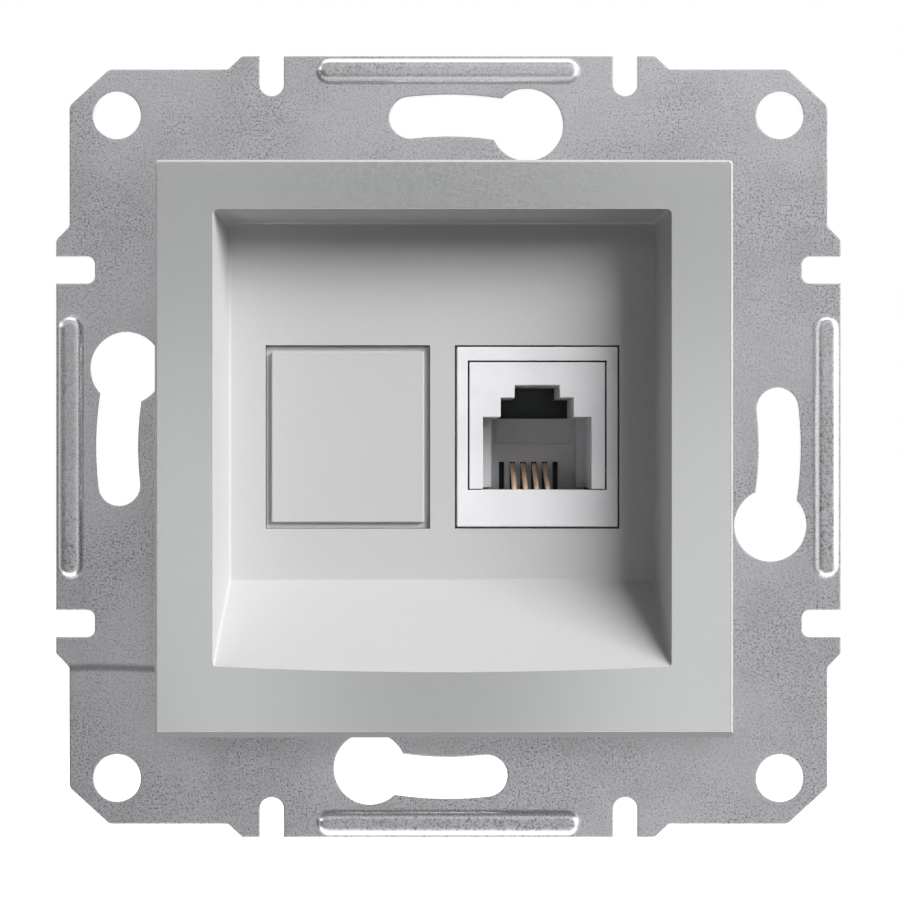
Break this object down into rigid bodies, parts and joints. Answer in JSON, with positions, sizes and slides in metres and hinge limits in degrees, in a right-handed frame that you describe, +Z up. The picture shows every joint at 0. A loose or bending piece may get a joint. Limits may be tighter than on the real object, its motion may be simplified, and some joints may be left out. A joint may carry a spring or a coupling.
{
  "type": "telephone wall socket",
  "caption": "Flush telephone wall socket: square steel support plate, cover with a sloped recessed well, a modular jack beside a blanked window, and wire terminals behind.",
  "frame": {"origin": "centre of the support plate's back face, which rests on the wall; also the centre of the 60 mm hole square", "axes": "+X to the right seen from the room, +Z up, +Y into the wall; the cover faces -Y"},
  "size_m": [0.071, 0.0347, 0.0706],
  "materials": {
    "zinc_steel": "zinc-plated sheet, fine grain",
    "aluminium_lacquer": "aluminium-coloured lacquer on plastic, satin",
    "white_plastic": "white moulded plastic, satin",
    "grey_plastic": "grey moulded plastic",
    "black_plastic": "black moulded plastic",
    "cap_plastic": "pale moulded plastic",
    "board": "green solder mask",
    "gold_wire": "gold-plated round wire",
    "tinned_bronze": "tin-plated bronze strip"
  },
  "bodies": {
    "socket": {"mounting_plate": "zinc_steel", "cover": "aluminium_lacquer", "module_tray": "grey_plastic", "blank_insert": "aluminium_lacquer", "jack_frame": "white_plastic", "jack_shroud": "white_plastic", "contact_carrier": "black_plastic", "circuit_board": "board", "terminal_block": "white_plastic", "contact_tail_1": "gold_wire", "terminal_blade_1": "tinned_bronze", "contact_tail_2": "gold_wire", "terminal_blade_2": "tinned_bronze", "contact_tail_3": "gold_wire", "terminal_blade_3": "tinned_bronze", "contact_tail_4": "gold_wire", "terminal_blade_4": "tinned_bronze"},
    "contact_spring_1": {"contact_arm_1": "gold_wire"},
    "contact_spring_2": {"contact_arm_2": "gold_wire"},
    "contact_spring_3": {"contact_arm_3": "gold_wire"},
    "contact_spring_4": {"contact_arm_4": "gold_wire"},
    "cap_left": {"wire_cap_left": "cap_plastic"},
    "cap_right": {"wire_cap_right": "cap_plastic"}
  },
  "joints": [
    {"name": "contact_1_flex", "type": "hinge", "parent": "socket", "child": "contact_spring_1", "pos_m": [0.00604, 0.0024, -0.00441], "axis": [-1, 0, 0], "range_deg": [0, 12], "stiffness_Nm_per_rad": 0.03},
    {"name": "contact_2_flex", "type": "hinge", "parent": "socket", "child": "contact_spring_2", "pos_m": [0.00705, 0.0024, -0.00441], "axis": [-1, 0, 0], "range_deg": [0, 12], "stiffness_Nm_per_rad": 0.03},
    {"name": "contact_3_flex", "type": "hinge", "parent": "socket", "child": "contact_spring_3", "pos_m": [0.00807, 0.0024, -0.00441], "axis": [-1, 0, 0], "range_deg": [0, 12], "stiffness_Nm_per_rad": 0.03},
    {"name": "contact_4_flex", "type": "hinge", "parent": "socket", "child": "contact_spring_4", "pos_m": [0.00908, 0.0024, -0.00441], "axis": [-1, 0, 0], "range_deg": [0, 12], "stiffness_Nm_per_rad": 0.03},
    {"name": "cap_left_lift", "type": "slide", "parent": "socket", "child": "cap_left", "axis": [0, 1, 0], "range_m": [0, 0.006]},
    {"name": "cap_right_lift", "type": "slide", "parent": "socket", "child": "cap_right", "axis": [0, 1, 0], "range_m": [0, 0.006]}
  ]
}
